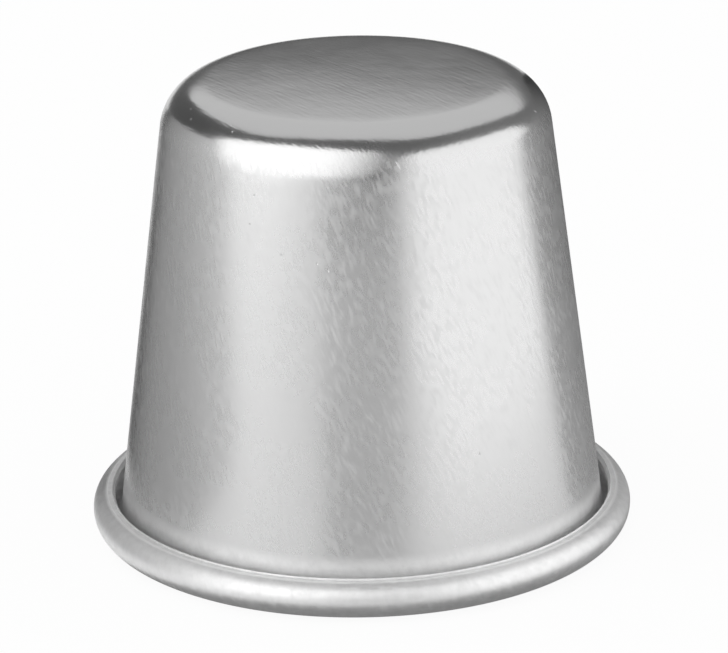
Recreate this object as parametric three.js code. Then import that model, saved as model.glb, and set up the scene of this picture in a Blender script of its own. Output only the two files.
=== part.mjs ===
// Baba mould: a tapering round baking cup, pressed in one piece from a disc of aluminium sheet.
// It stands mouth down on its rolled rim, with its flat base on top. Millimetres, +Z up the cup's
// axis, origin at the centre of the circle on which the rim rests.

import * as THREE from 'three';

// Overall sizes. The base is measured where the lines of the wall and of the base would meet.
const RIM_DIAMETER = 70;
const BASE_DIAMETER = 48.1;
const HEIGHT = 60;

// The sheet, and the inside radius that the press punch leaves between the base and the wall.
const SHEET_THICKNESS = 1.2;
const PUNCH_RADIUS = 5.4;

// The rim is rolled outwards into an open curl. The hollow is the bore inside the curl, and the gap
// lies between its cut edge and the wall.
const CURL_HOLLOW_DIAMETER = 2.4;
const CURL_GAP = 1.1;

// Facets: round the cup, and the angle of one step along a bend of the sheet.
const TURN_STEPS = 96;
const BEND_STEP = THREE.MathUtils.degToRad(18);

const ALUMINIUM = { color: 0xc8c9cb, metalness: 1, roughness: 0.36 };

// Angles in the plane that holds the axis, where x is the radius and y the height.
const OUTWARDS = 0;
const UPWARDS = Math.PI / 2;
const DOWNWARDS = -Math.PI / 2;
const INWARDS = -Math.PI;

// Points along a bend of the sheet, from each stop to the next.
function bend(centre, radius, ...stops) {
  const points = [];
  stops.slice(1).forEach((to, index) => {
    const from = stops[index];
    const steps = Math.ceil(Math.abs(to - from) / BEND_STEP);
    const arc = new THREE.EllipseCurve(centre.x, centre.y, radius, radius, from, to, to < from);
    const alreadyThere = index > 0 ? 1 : 0;
    points.push(...arc.getPoints(steps).slice(alreadyThere));
  });
  return points;
}

// The outline of the sheet cut through the axis: down the inside from the middle of the base, round the
// outside of the curl to its cut edge, back round its hollow, and up the wall to the base's outside.
function sheetOutline() {
  const hollowRadius = CURL_HOLLOW_DIAMETER / 2;
  const curlRadius = hollowRadius + SHEET_THICKNESS;
  const curlCentre = new THREE.Vector2(RIM_DIAMETER / 2 - curlRadius, curlRadius);

  // The wall runs down from the edge of the base, tangent to the curl's hollow.
  const spread = curlCentre.x - BASE_DIAMETER / 2;
  const drop = HEIGHT - curlCentre.y;
  const taper = Math.atan2(spread, drop) - Math.asin(hollowRadius / Math.hypot(spread, drop));

  const cornerRadius = PUNCH_RADIUS + SHEET_THICKNESS;
  const cornerSetback = cornerRadius * Math.tan((UPWARDS - taper) / 2);
  const cornerCentre = new THREE.Vector2(BASE_DIAMETER / 2 - cornerSetback, HEIGHT - cornerRadius);

  // The curl starts where its radius is square to the wall, and its cut edge leaves the gap.
  const curlStart = INWARDS + taper;
  const curlEnd = taper + Math.acos((CURL_GAP - hollowRadius) / curlRadius);

  return [
    new THREE.Vector2(0, HEIGHT - SHEET_THICKNESS),
    ...bend(cornerCentre, PUNCH_RADIUS, UPWARDS, taper),
    ...bend(curlCentre, curlRadius, curlStart, DOWNWARDS, OUTWARDS, curlEnd),
    ...bend(curlCentre, hollowRadius, curlEnd, curlStart),
    ...bend(cornerCentre, cornerRadius, taper, UPWARDS),
    new THREE.Vector2(0, HEIGHT),
  ];
}

function mouldCup() {
  const turned = new THREE.LatheGeometry(sheetOutline(), TURN_STEPS);
  // The lathe turns about Y, and the cup's axis is Z.
  turned.rotateX(Math.PI / 2);
  const cup = new THREE.Mesh(turned, new THREE.MeshStandardMaterial(ALUMINIUM));
  cup.name = 'mould_cup';
  return cup;
}

const babaMould = new THREE.Group();
babaMould.add(mouldCup());

export default babaMould;
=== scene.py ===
"""Baba mould: the looks of a pressed aluminium baking cup, standing mouth down. Metres, +Z up."""

import math

import bmesh
import bpy
from mathutils import Matrix, Vector


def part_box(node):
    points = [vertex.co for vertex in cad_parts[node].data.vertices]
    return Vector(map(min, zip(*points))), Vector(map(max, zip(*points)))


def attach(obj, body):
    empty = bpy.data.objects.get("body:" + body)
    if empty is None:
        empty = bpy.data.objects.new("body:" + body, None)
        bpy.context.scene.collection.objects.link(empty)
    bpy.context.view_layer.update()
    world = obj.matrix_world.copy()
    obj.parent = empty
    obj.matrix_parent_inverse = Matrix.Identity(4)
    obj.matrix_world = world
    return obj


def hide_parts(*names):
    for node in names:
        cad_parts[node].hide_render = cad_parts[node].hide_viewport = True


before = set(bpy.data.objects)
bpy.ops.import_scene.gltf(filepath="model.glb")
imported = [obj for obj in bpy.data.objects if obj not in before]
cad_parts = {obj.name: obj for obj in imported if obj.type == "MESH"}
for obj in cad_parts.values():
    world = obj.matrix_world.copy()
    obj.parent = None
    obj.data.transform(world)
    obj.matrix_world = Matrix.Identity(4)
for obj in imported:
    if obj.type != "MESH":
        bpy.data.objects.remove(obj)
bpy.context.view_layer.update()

# The cup.
# One disc of aluminium sheet, drawn in a press to a tapering cup with a rounded corner round its base.
# Its edge is rolled outwards into an open curl, so the sheared edge of the sheet shows beside the wall.
CUP_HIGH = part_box("mould_cup")[1]
RIM_RADIUS = CUP_HIGH.x
CUP_HEIGHT = CUP_HIGH.z
BASE_RADIUS = 0.02405
BASE_CROWN_RADIUS = 0.45
SHEET = 0.0012
PUNCH_RADIUS = 0.0054
CURL_HOLLOW_RADIUS = 0.0012
CURL_END = math.radians(72)
LIP_END = -0.00045
EDGE_CHAMFER = 0.00035
BURR_WIDTH = 0.00007
BURR_HEIGHT = 0.00024

# How finely the sheet's outline is drawn, and the angles in radians that tell a sharp edge from a bend.
CROWN_STEPS = 10
CORNER_STEPS = 14
WALL_STEPS = 40
CURL_STEPS = 56
STEPS_ROUND_AXIS = 288
MERGE_DISTANCE = 1e-6
SHEARED_ANGLE = 1
CHAMFER_ANGLE = 0.6
CREASE_ANGLE = math.radians(7)

curl_radius = CURL_HOLLOW_RADIUS + SHEET
curl_centre = Vector((RIM_RADIUS - curl_radius, 0, curl_radius))
spread = curl_centre.x - BASE_RADIUS
drop = CUP_HEIGHT - curl_centre.z
taper = math.atan2(spread, drop) - math.asin(CURL_HOLLOW_RADIUS / math.hypot(spread, drop))

# The base is crowned very slightly, and its crown runs on into the corner without an edge.
corner_radius = PUNCH_RADIUS + SHEET
reach = BASE_RADIUS * math.cos(taper) + BASE_CROWN_RADIUS * math.sin(taper) - corner_radius
crown_turn = math.asin(reach / (BASE_CROWN_RADIUS - corner_radius)) - taper
crown_centre = Vector((0, 0, CUP_HEIGHT - BASE_CROWN_RADIUS))
to_corner = Vector((math.sin(crown_turn), 0, math.cos(crown_turn)))
corner_centre = crown_centre + (BASE_CROWN_RADIUS - corner_radius) * to_corner

cup_mesh = bmesh.new()


def drawn_to(tip, place, steps):
    """Draws the sheet's outline on from its tip in a straight line."""
    stride = (Vector(place) - tip.co) / steps
    made = bmesh.ops.spin(cup_mesh, geom=[tip], cent=tip.co, axis=(0, 1, 0), dvec=stride, angle=0,
                          steps=steps)
    return made["geom_last"][0]


def bent(tip, centre, turn, steps):
    """Bends the sheet's outline on from its tip, round a centre in the XZ plane."""
    made = bmesh.ops.spin(cup_mesh, geom=[tip], cent=centre, axis=(0, 1, 0), angle=turn, steps=steps)
    return made["geom_last"][0]


tip = bmesh.ops.create_vert(cup_mesh, co=(0, 0, CUP_HEIGHT))["vert"][0]
tip = bent(tip, crown_centre, crown_turn, CROWN_STEPS)
tip = bent(tip, corner_centre, math.pi / 2 - taper - crown_turn, CORNER_STEPS)
wall_foot = curl_centre + CURL_HOLLOW_RADIUS * Vector((-math.cos(taper), 0, -math.sin(taper)))
tip = drawn_to(tip, wall_foot, WALL_STEPS)
tip = bent(tip, curl_centre, -(math.pi - taper + CURL_END), CURL_STEPS)
tip = drawn_to(tip, (curl_centre.x + LIP_END, 0, tip.co.z), 1)

# Each point keeps its radius on the flat disc that the cup was drawn from, which has the same area.
blank_radius = cup_mesh.verts.layers.float.new("blank_radius")
cup_mesh.verts.ensure_lookup_table()
area_over_pi = 0
last = cup_mesh.verts[0].co
for point in cup_mesh.verts:
    area_over_pi += (point.co.x + last.x) * (point.co - last).length
    point[blank_radius] = math.sqrt(area_over_pi)
    last = point.co
lip_height = cup_mesh.verts[-1].co.z + SHEET
crease_on_blank = cup_mesh.verts[-2][blank_radius]

outline = cup_mesh.verts[:] + cup_mesh.edges[:]
bmesh.ops.spin(cup_mesh, geom=outline, cent=(0, 0, 0), axis=(0, 0, 1), angle=2 * math.pi,
               steps=STEPS_ROUND_AXIS, use_merge=True)
bmesh.ops.remove_doubles(cup_mesh, verts=cup_mesh.verts, dist=MERGE_DISTANCE)
bmesh.ops.recalc_face_normals(cup_mesh, faces=cup_mesh.faces)
bmesh.ops.solidify(cup_mesh, geom=cup_mesh.faces[:], thickness=SHEET)


def broken(edges, width):
    """Breaks edges of the sheet with a narrow flat."""
    return bmesh.ops.bevel(cup_mesh, geom=edges, offset=width, offset_type="OFFSET", segments=1,
                           profile=0.5, affect="EDGES", material=-1)


# The sheared edge is broken, and its burr stands up a little along the lip.
curl_top = curl_centre.z + CURL_HOLLOW_RADIUS
sheared = [edge for edge in cup_mesh.edges
           if edge.calc_face_angle() > SHEARED_ANGLE and edge.verts[0].co.z > curl_top]
broken(sheared, EDGE_CHAMFER)
brink = lip_height - EDGE_CHAMFER / 2
lip_edge = [edge for edge in cup_mesh.edges
            if edge.calc_face_angle() > CHAMFER_ANGLE and brink < edge.verts[0].co.z < 2 * brink]
burr = broken(lip_edge, BURR_WIDTH)
raised = [vert for vert in burr["verts"] if vert.co.z < lip_height - BURR_WIDTH / 4]
bmesh.ops.translate(cup_mesh, vec=(0, 0, BURR_HEIGHT), verts=raised)
for edge in cup_mesh.edges:
    edge.smooth = edge.calc_face_angle() < CREASE_ANGLE
for face in cup_mesh.faces:
    face.smooth = True

cup_data = bpy.data.meshes.new("mould_cup_sheet")
cup_mesh.to_mesh(cup_data)
cup_mesh.free()
cup = bpy.data.objects.new("mould_cup_sheet", cup_data)
bpy.context.scene.collection.objects.link(cup)


class Shade:
    """A socket of a material's nodes, with arithmetic that adds Math nodes."""

    def __init__(self, tree, socket=None):
        self.tree = tree
        self.socket = socket

    def node(self, kind, settings, sockets, output=0):
        """Adds a node: its settings first, then the values or links of its sockets."""
        made = self.tree.nodes.new(kind)
        for name, value in settings.items():
            setattr(made, name, value)
        for name, value in sockets.items():
            if isinstance(value, Shade):
                self.tree.links.new(value.socket, made.inputs[name])
            else:
                made.inputs[name].default_value = value
        return Shade(self.tree, made.outputs[output])

    def math(self, operation, first, second):
        return self.node("ShaderNodeMath", {"operation": operation}, {0: first, 1: second})

    def __add__(self, other):
        return self.math("ADD", self, other)

    __radd__ = __add__

    def __mul__(self, other):
        return self.math("MULTIPLY", self, other)

    __rmul__ = __mul__

    def __sub__(self, other):
        return self.math("SUBTRACT", self, other)

    def __rsub__(self, other):
        return self.math("SUBTRACT", other, self)

    def __truediv__(self, other):
        return self.math("DIVIDE", self, other)

    def rising(self, low, high):
        """0 below low, 1 above high, and smooth between them."""
        limits = {"Value": self, "From Min": low, "From Max": high}
        return self.node("ShaderNodeMapRange", {"interpolation_type": "SMOOTHSTEP"}, limits)


# The cup's metal is satin aluminium. Its base keeps the straight rolling lines of the sheet. A brush that
# ran along the turning cup has left short slanting strokes on the wall, and the die burnished the corner.
# The curl is rougher, and its colour is painted paler in random smudges: a painted sheen that brightens
# the rim. A thin paler line along the lip's crease is a painted highlight.
METAL_TONE = 0.7
# Painted sheen: the curl's colour, paler than the rest of the metal.
CURL_SHEEN_TONE = 0.96
LEAST_CURL_SHEEN = 0.3
BASE_SATIN = 0.21
CORNER_SATIN = 0.19
WALL_SATIN = 0.27
CURL_SATIN = 0.45
EDGE_SATIN = 0.6
SCUFF_SATIN = 0.14
SPECK_SATIN = 0.04
WAVE_SATIN = 0.12
ROLLING_TURN = math.radians(57)
TWIST_PER_METRE = 14
MILLIMETRE = 0.001

# Marks in the metal in millimetres: how large along X, Y and Z, and how deep.
ROLLING_LINE_SIZE = (1.4, 0.2, 0.2)
BRUSH_STROKE_SIZE = (0.19, 0.19, 0.75)
MOTTLE_SIZE = (0.4, 0.4, 0.7)
WAVE_SIZE = (4, 4, 4)
SMUDGE_SIZE = (0.6, 0.6, 0.6)
ROLLING_LINE_DEPTH = 0.013
BRUSH_STROKE_DEPTH = 0.004
MOTTLE_DEPTH = 0.003
CURL_MOTTLE_DEPTH = 0.012
WAVE_DEPTH = 0.035
NICK_DEPTH = 0.05

# Where one finish turns into the next, by the radius on the flat disc in millimetres.
BASE_TO_CORNER = (17.5, 19.5)
CORNER_TO_WALL = (23.5, 28)
WALL_TO_CURL = (58, 59)
CREASE_WIDTH = 0.05

# How strong a stroke or a fleck of the mottle is before it dulls the metal, and when it dulls it fully.
SCUFF_RANGE = (0.4, 0.8)
SPECK_RANGE = (0.5, 0.8)

# Small nicks from use: azimuth from the camera's side and radius on the flat disc, then length, width and
# turn. Degrees and millimetres.
NICKS = (
    (72, 24.3, 0.9, 0.25, 15),
    (90, 25.9, 0.7, 0.3, 60),
    (-68, 22.3, 0.35, 0.3, 0),
    (-63, 23.4, 0.4, 0.25, 40),
    (-44, 22.2, 0.35, 0.25, 10),
    (-42, 23, 0.3, 0.3, 0),
    (12, 25.9, 1.4, 0.2, -50),
    (-30, 29.7, 0.4, 0.3, 0),
    (-31, 32.7, 0.35, 0.3, 30),
    (-21, 35.2, 0.5, 0.3, -45),
    (-11, 35.7, 0.35, 0.3, 0),
    (-8, 36.3, 0.45, 0.3, -40),
    (30, 51.9, 0.45, 0.4, 0),
    (-15, 53.9, 0.5, 0.3, -30),
)

# A patch takes up half of a cell of noise. The Mix node's sockets for colours go by their numbers.
PATCH_IN_CELL = 0.5
PATCH_ROUGHNESS = 0.6
MIX_FACTOR, MIX_FIRST, MIX_SECOND, MIX_RESULT = 0, 6, 7, 2

metal = bpy.data.materials.new("drawn_aluminium")
metal.use_nodes = True
shader = metal.node_tree.nodes["Principled BSDF"]
paint = Shade(metal.node_tree)
place = paint.node("ShaderNodeTexCoord", {}, {}, "Object")
radius = paint.node("ShaderNodeAttribute", {"attribute_name": "blank_radius"}, {}, "Fac")
disc_radius = radius / MILLIMETRE
flat_place = paint.node("ShaderNodeVectorMath", {"operation": "MULTIPLY"}, {0: place, 1: (1, 1, 0)})
outwards = paint.node("ShaderNodeVectorMath", {"operation": "NORMALIZE"}, {0: flat_place})
on_blank = paint.node("ShaderNodeVectorMath", {"operation": "SCALE"}, {0: outwards, "Scale": disc_radius})
along_rolling = paint.node("ShaderNodeMapping", {}, {"Vector": place, "Rotation": (0, 0, ROLLING_TURN)})
rise = paint.node("ShaderNodeSeparateXYZ", {}, {"Vector": place}, "Z")
untwisted = {"Vector": place, "Angle": rise * TWIST_PER_METRE}
along_brush = paint.node("ShaderNodeVectorRotate", {"rotation_type": "Z_AXIS"}, untwisted)


def patches(vector, sizes, detail):
    """Noise of about 0 to 1, in patches of the given sizes in millimetres."""
    scale = [PATCH_IN_CELL / size / MILLIMETRE for size in sizes]
    stretched = paint.node("ShaderNodeMapping", {}, {"Vector": vector, "Scale": scale})
    cells = {"Vector": stretched, "Scale": 1, "Detail": detail, "Roughness": PATCH_ROUGHNESS}
    return paint.node("ShaderNodeTexNoise", {}, cells)


rolling_lines = patches(along_rolling, ROLLING_LINE_SIZE, 1)
brush_strokes = patches(along_brush, BRUSH_STROKE_SIZE, 0)
mottle = patches(place, MOTTLE_SIZE, 0)
waves = patches(place, WAVE_SIZE, 2)
smudges = patches(place, SMUDGE_SIZE, 2)
nicks = 0
for azimuth, out, length, width, turn in NICKS:
    bearing = math.radians(azimuth)
    middle = (out * math.sin(bearing), -out * math.cos(bearing), 0)
    across = {"Vector": on_blank, "Location": middle, "Rotation": (0, 0, math.radians(turn)),
              "Scale": (length / 2, width / 2, 1)}
    from_middle = paint.node("ShaderNodeMapping", {"vector_type": "TEXTURE"}, across)
    away = paint.node("ShaderNodeVectorMath", {"operation": "LENGTH"}, {0: from_middle}, "Value")
    nicks = nicks + (1 - away.rising(0, 1))
off_base = disc_radius.rising(*BASE_TO_CORNER)
off_corner = disc_radius.rising(*CORNER_TO_WALL)
off_wall = disc_radius.rising(*WALL_TO_CURL)
crease = crease_on_blank / MILLIMETRE
on_lip = disc_radius.rising(crease - CREASE_WIDTH, crease)
# Painted highlight: a thin band along the lip's crease, which the colour mix below makes paler.
crease_glint = on_lip - disc_radius.rising(crease, crease + CREASE_WIDTH)
scuffs = off_corner * brush_strokes.rising(*SCUFF_RANGE)
specks = off_corner * mottle.rising(*SPECK_RANGE)
height = (1 - off_corner) * rolling_lines * ROLLING_LINE_DEPTH
height = height + off_corner * brush_strokes * BRUSH_STROKE_DEPTH
height = height + mottle * (MOTTLE_DEPTH + off_wall * CURL_MOTTLE_DEPTH)
height = height + waves * WAVE_DEPTH - nicks * NICK_DEPTH
bump = {"Height": height * MILLIMETRE, "Strength": 1, "Distance": 1}
dented = paint.node("ShaderNodeBump", {}, bump)
metal.node_tree.links.new(dented.socket, shader.inputs["Normal"])

rough = BASE_SATIN + off_base * (CORNER_SATIN - BASE_SATIN) + off_corner * (WALL_SATIN - CORNER_SATIN)
rough = rough + off_wall * (CURL_SATIN - WALL_SATIN) + on_lip * (EDGE_SATIN - CURL_SATIN)
rough = rough + scuffs * SCUFF_SATIN + specks * SPECK_SATIN + (waves - 0.5) * WAVE_SATIN
metal.node_tree.links.new(rough.socket, shader.inputs["Roughness"])
# Painted sheen on the curl, in random smudges, and a painted highlight along the crease.
smudged_sheen_and_crease_glint = off_wall * (LEAST_CURL_SHEEN + smudges * (1 - LEAST_CURL_SHEEN)) + crease_glint
tones = {MIX_FACTOR: smudged_sheen_and_crease_glint, MIX_FIRST: (METAL_TONE, METAL_TONE, METAL_TONE, 1),
         MIX_SECOND: (CURL_SHEEN_TONE, CURL_SHEEN_TONE, CURL_SHEEN_TONE, 1)}
bright = paint.node("ShaderNodeMix", {"data_type": "RGBA"}, tones, MIX_RESULT)
metal.node_tree.links.new(bright.socket, shader.inputs["Base Color"])
shader.inputs["Metallic"].default_value = 1
cup_data.materials.append(metal)
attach(cup, "root")
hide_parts("mould_cup")

# The floor.
# A wide sheet of matt white paper. The camera sees it white with a faint soft shadow of the mould, and
# the metal mirrors it with most of that shadow. It is clear from below, to show the inside of the mould.
FLOOR_HALF_WIDTH = 4
PAPER_TONE = 0.8
SHADOW_SEEN = 0.07
SHADOW_IN_METAL = 0.9

floor_mesh = bmesh.new()
bmesh.ops.create_grid(floor_mesh, x_segments=1, y_segments=1, size=FLOOR_HALF_WIDTH)
floor_data = bpy.data.meshes.new("studio_floor")
floor_mesh.to_mesh(floor_data)
floor_mesh.free()
floor = bpy.data.objects.new("studio_floor", floor_data)
bpy.context.scene.collection.objects.link(floor)

paper = bpy.data.materials.new("white_paper")
paper.use_nodes = True
paper.node_tree.nodes.clear()
paint = Shade(paper.node_tree)
seen = paint.node("ShaderNodeLightPath", {}, {}, "Is Camera Ray")
mirrored = paint.node("ShaderNodeLightPath", {}, {}, "Is Glossy Ray")
mirrored = mirrored + paint.node("ShaderNodeLightPath", {}, {}, "Is Transmission Ray")
whiteness = seen * (1 - SHADOW_SEEN) + mirrored * (1 - SHADOW_IN_METAL)
matt = paint.node("ShaderNodeBsdfDiffuse", {}, {"Color": (PAPER_TONE, PAPER_TONE, PAPER_TONE, 1)})
white = paint.node("ShaderNodeEmission", {}, {"Color": (1, 1, 1, 1), "Strength": 1})
mixed = paint.node("ShaderNodeMixShader", {}, {0: whiteness, 1: matt, 2: white})
underside = paint.node("ShaderNodeNewGeometry", {}, {}, "Backfacing")
clear = paint.node("ShaderNodeBsdfTransparent", {}, {"Color": (1, 1, 1, 1)})
mixed = paint.node("ShaderNodeMixShader", {}, {0: underside, 1: mixed, 2: clear})
paper_output = paper.node_tree.nodes.new("ShaderNodeOutputMaterial")
paper.node_tree.links.new(mixed.socket, paper_output.inputs["Surface"])
floor_data.materials.append(paper)

# The light booth.
# Dark cloth all round, with a bright panel above the back and one on either side of the camera. Smaller
# cards beside the mould shade what the wall and the rim mirror, and two grey cards just above the paper,
# under the mould and in front of it, are painted shadow on the paper. Only the metal sees them: a plain
# white world and one lamp light the paper, and the lamp gives it the soft shadow.
BOOTH_RADIUS = 1.4
CLOTH_HALF_WIDTH = 0.8 * BOOTH_RADIUS
MOULD_MIDDLE = Vector((0, 0, 0.04))

world = bpy.data.worlds.new("studio")
bpy.context.scene.world = world
world.use_nodes = True
world.node_tree.nodes["Background"].inputs["Color"].default_value = (1, 1, 1, 1)
world.node_tree.nodes["Background"].inputs["Strength"].default_value = 1


def facing(azimuth, elevation, distance, roll):
    """The place of a lamp or card that faces the mould. Degrees, with azimuth from the camera's side."""
    turn, lift = math.radians(azimuth), math.radians(elevation)
    out = Vector((math.sin(turn) * math.cos(lift), -math.cos(turn) * math.cos(lift), math.sin(lift)))
    turned = out.to_track_quat("Z", "Y").to_matrix() @ Matrix.Rotation(math.radians(roll), 3, "Z")
    return Matrix.Translation(MOULD_MIDDLE + distance * out) @ turned.to_4x4()


def hung(name, mesh, half_width, levels, fades, place):
    """Cloth or card that glows, with levels at its -X end, middle and +X end, and how far its ends fade."""
    tone = bpy.data.materials.new(name)
    tone.use_nodes = True
    tone.node_tree.nodes.clear()
    paint = Shade(tone.node_tree)
    spot = paint.node("ShaderNodeTexCoord", {}, {}, "Object")
    along = paint.node("ShaderNodeSeparateXYZ", {}, {"Vector": spot}, "X")
    first, middle, last = levels
    level = first + along.rising(-half_width, fades[0] - half_width) * (middle - first)
    level = level + along.rising(half_width - fades[1], half_width) * (last - middle)
    glow = paint.node("ShaderNodeEmission", {}, {"Color": level, "Strength": 1})
    output = tone.node_tree.nodes.new("ShaderNodeOutputMaterial")
    tone.node_tree.links.new(glow.socket, output.inputs["Surface"])
    data = bpy.data.meshes.new(name)
    mesh.to_mesh(data)
    mesh.free()
    data.materials.append(tone)
    sheet = bpy.data.objects.new(name, data)
    sheet.matrix_world = place
    sheet.visible_camera = False
    sheet.visible_diffuse = False
    sheet.visible_shadow = False
    bpy.context.scene.collection.objects.link(sheet)


def card(name, levels, fades, width, height, rounding, place):
    """A flat card with rounded corners."""
    mesh = bmesh.new()
    bmesh.ops.create_grid(mesh, x_segments=1, y_segments=1, size=0.5)
    bmesh.ops.scale(mesh, vec=(width, height, 1), verts=mesh.verts)
    bmesh.ops.bevel(mesh, geom=mesh.verts[:], offset=rounding, offset_type="OFFSET", segments=12,
                    profile=0.5, affect="VERTICES", material=-1)
    hung(name, mesh, width / 2, levels, fades, place)


booth_mesh = bmesh.new()
bmesh.ops.create_icosphere(booth_mesh, subdivisions=3, radius=BOOTH_RADIUS)
hung("booth_cloth", booth_mesh, CLOTH_HALF_WIDTH, levels=(0.09, 0.12, 0.2), fades=(0.9, 0.9),
     place=Matrix.Identity(4))
card("back_panel", levels=(0.12, 0.68, 0.68), fades=(0.08, 0.01), width=0.72, height=0.68,
     rounding=0.15, place=facing(azimuth=175.5, elevation=54.6, distance=0.5, roll=80))
card("left_panel", levels=(0.3, 1.5, 0.45), fades=(0.22, 0.45), width=1.18, height=0.64,
     rounding=0.18, place=facing(azimuth=-43, elevation=32, distance=0.5, roll=15))
card("right_panel", levels=(0.5, 1.2, 1.12), fades=(0.04, 0.04), width=0.215, height=0.142,
     rounding=0.05, place=facing(azimuth=66, elevation=10, distance=0.105, roll=-14))
card("front_card", levels=(0.53, 0.53, 0.53), fades=(0.01, 0.01), width=0.074, height=0.0522,
     rounding=0.005, place=facing(azimuth=2, elevation=-9.7, distance=0.114, roll=4))
card("left_card", levels=(0.01, 0.36, 0.66), fades=(0.04, 0.04), width=0.0745, height=0.0781,
     rounding=0.005, place=facing(azimuth=-96.6, elevation=-10.3, distance=0.05, roll=23.5))
card("right_card", levels=(0.4, 0.2, 0.03), fades=(0.04, 0.04), width=0.07, height=0.1054,
     rounding=0.005, place=facing(azimuth=126, elevation=-24, distance=0.05, roll=6.4))
# Painted shadow: a grey card on the paper in front of the mould, darkening the floor that the metal
# mirrors.
card("painted_front_floor_shade", levels=(0.45, 0.45, 0.45), fades=(0.01, 0.01), width=0.042, height=0.06,
     rounding=0.01, place=Matrix.Translation((0.002, -0.086, 0.0003)))
# Painted shadow: a dark disc on the paper round the mould's foot, reaching further to the right and front.
card("painted_shadow_disc", levels=(0.22, 0.22, 0.22), fades=(0.01, 0.01), width=0.0742, height=0.0742,
     rounding=0.0371, place=Matrix.Translation((0.0038, -0.003, 0.0002)))

floor_lamp = bpy.data.lights.new("floor_light", "AREA")
floor_lamp.size = 0.3
floor_lamp.energy = 1
floor_light = bpy.data.objects.new("floor_light", floor_lamp)
floor_light.matrix_world = facing(azimuth=-75, elevation=52, distance=0.85, roll=0)
floor_light.visible_camera = False
floor_light.visible_glossy = False
bpy.context.scene.collection.objects.link(floor_light)

# The camera.
# A long lens at the height and distance that the mould's outline in the photo gives. Its focal length is
# in pixels of the photo, and the pan, tilt and roll put the mould in its place in the frame.
IMAGE_WIDTH = 728
FOCAL_PIXELS = 4266.3
SENSOR_WIDTH = 36
DISTANCE = 0.55
ELEVATION = math.radians(20.174)
ROLL = math.radians(0.911)
PAN = math.radians(-0.065)
TILT = math.radians(0.1178)
AIM = Vector((0, 0, 0.025))
back = Vector((0, -math.cos(ELEVATION), math.sin(ELEVATION)))
lens = bpy.data.cameras.new("camera")
lens.sensor_width = SENSOR_WIDTH
lens.lens = FOCAL_PIXELS * SENSOR_WIDTH / IMAGE_WIDTH
camera = bpy.data.objects.new("camera", lens)
bpy.context.scene.collection.objects.link(camera)
bpy.context.scene.camera = camera
upright = (-back).to_track_quat("-Z", "Y").to_matrix()
aimed = upright @ Matrix.Rotation(PAN, 3, "Y") @ Matrix.Rotation(TILT, 3, "X")
rolled = aimed @ Matrix.Rotation(-ROLL, 3, "Z")
camera.matrix_world = Matrix.Translation(AIM + DISTANCE * back) @ rolled.to_4x4()

bpy.context.scene.view_settings.view_transform = "Standard"
